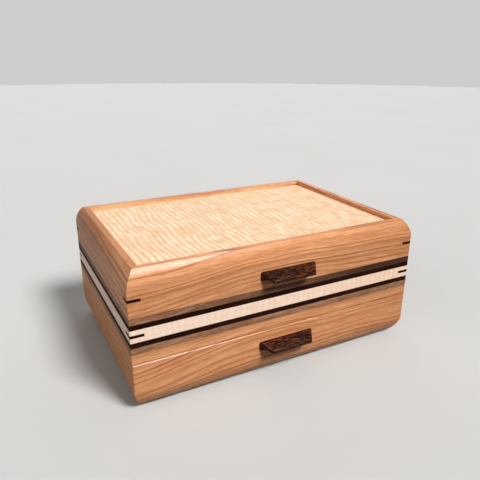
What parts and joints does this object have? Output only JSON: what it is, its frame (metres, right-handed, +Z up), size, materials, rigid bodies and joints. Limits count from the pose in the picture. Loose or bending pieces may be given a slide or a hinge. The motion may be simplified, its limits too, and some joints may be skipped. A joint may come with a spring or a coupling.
{
  "type": "jewelry chest",
  "caption": "Low wooden jewelry chest: hinged panelled lid over a divided compartment, dark and pale banding, a full-width drawer and dark finger pulls.",
  "frame": {"origin": "on the table, at the centre of the chest's footprint, pulls and hinge barrels included", "axes": "+X to the chest's right as seen from its front, -Y the front with the pulls, +Z up"},
  "size_m": [0.356, 0.266, 0.1553],
  "materials": {
    "cherry": "satin oil",
    "walnut": "satin oil",
    "wenge": "satin oil",
    "maple": "satin oil",
    "curly_maple_panel": "satin oil",
    "pull_wood": "polished oil",
    "birch_panel": "matte",
    "pale_wood": "satin",
    "suede": "soft",
    "foot_rubber": "matte",
    "brass": "satin",
    "steel_screws": "satin"
  },
  "bodies": {
    "case": {"side_left": "cherry", "side_right": "cherry", "back_board": "cherry", "front_rail": "cherry", "walnut_lower": "walnut", "wenge_lower": "wenge", "wenge_upper": "wenge", "walnut_upper": "walnut", "maple_band_front": "maple", "maple_band_back": "maple", "maple_band_left": "maple", "maple_band_right": "maple", "rim_front": "cherry", "rim_back": "cherry", "rim_left": "cherry", "rim_right": "cherry", "band_splines": "wenge", "base_panel": "birch_panel", "compartment_floor": "birch_panel", "compartment_lining": "suede", "divider_long": "pale_wood", "divider_front_left": "pale_wood", "divider_front_right": "pale_wood", "divider_back": "pale_wood", "ring_rolls": "suede", "drawer_runner_left": "pale_wood", "drawer_runner_right": "pale_wood", "drawer_stop": "pale_wood", "foot_pads": "foot_rubber", "hinge_leaf_lower_left": "brass", "hinge_leaf_lower_right": "brass", "hinge_pin_left": "brass", "hinge_pin_right": "brass", "hinge_screws_lower": "brass"},
    "lid": {"lid_front": "cherry", "lid_back": "cherry", "lid_left": "cherry", "lid_right": "cherry", "lid_panel": "curly_maple_panel", "lid_splines": "wenge", "lid_pull": "pull_wood", "lid_pull_screws": "steel_screws", "hinge_leaf_upper_left": "brass", "hinge_leaf_upper_right": "brass", "hinge_screws_upper": "brass"},
    "drawer": {"drawer_front": "cherry", "drawer_side_left": "pale_wood", "drawer_side_right": "pale_wood", "drawer_back": "pale_wood", "drawer_bottom": "birch_panel", "drawer_lining": "suede", "drawer_divider_left": "pale_wood", "drawer_divider_right": "pale_wood", "drawer_divider_middle": "pale_wood", "drawer_pull": "pull_wood", "drawer_pull_screws": "steel_screws"}
  },
  "joints": [
    {"name": "lid_hinge", "type": "hinge", "parent": "case", "child": "lid", "pos_m": [0, 0.13075, 0.1155], "axis": [-1, 0, 0], "range_deg": [0, 95]},
    {"name": "drawer_slide", "type": "slide", "parent": "case", "child": "drawer", "axis": [0, -1, 0], "range_m": [0, 0.165]}
  ]
}
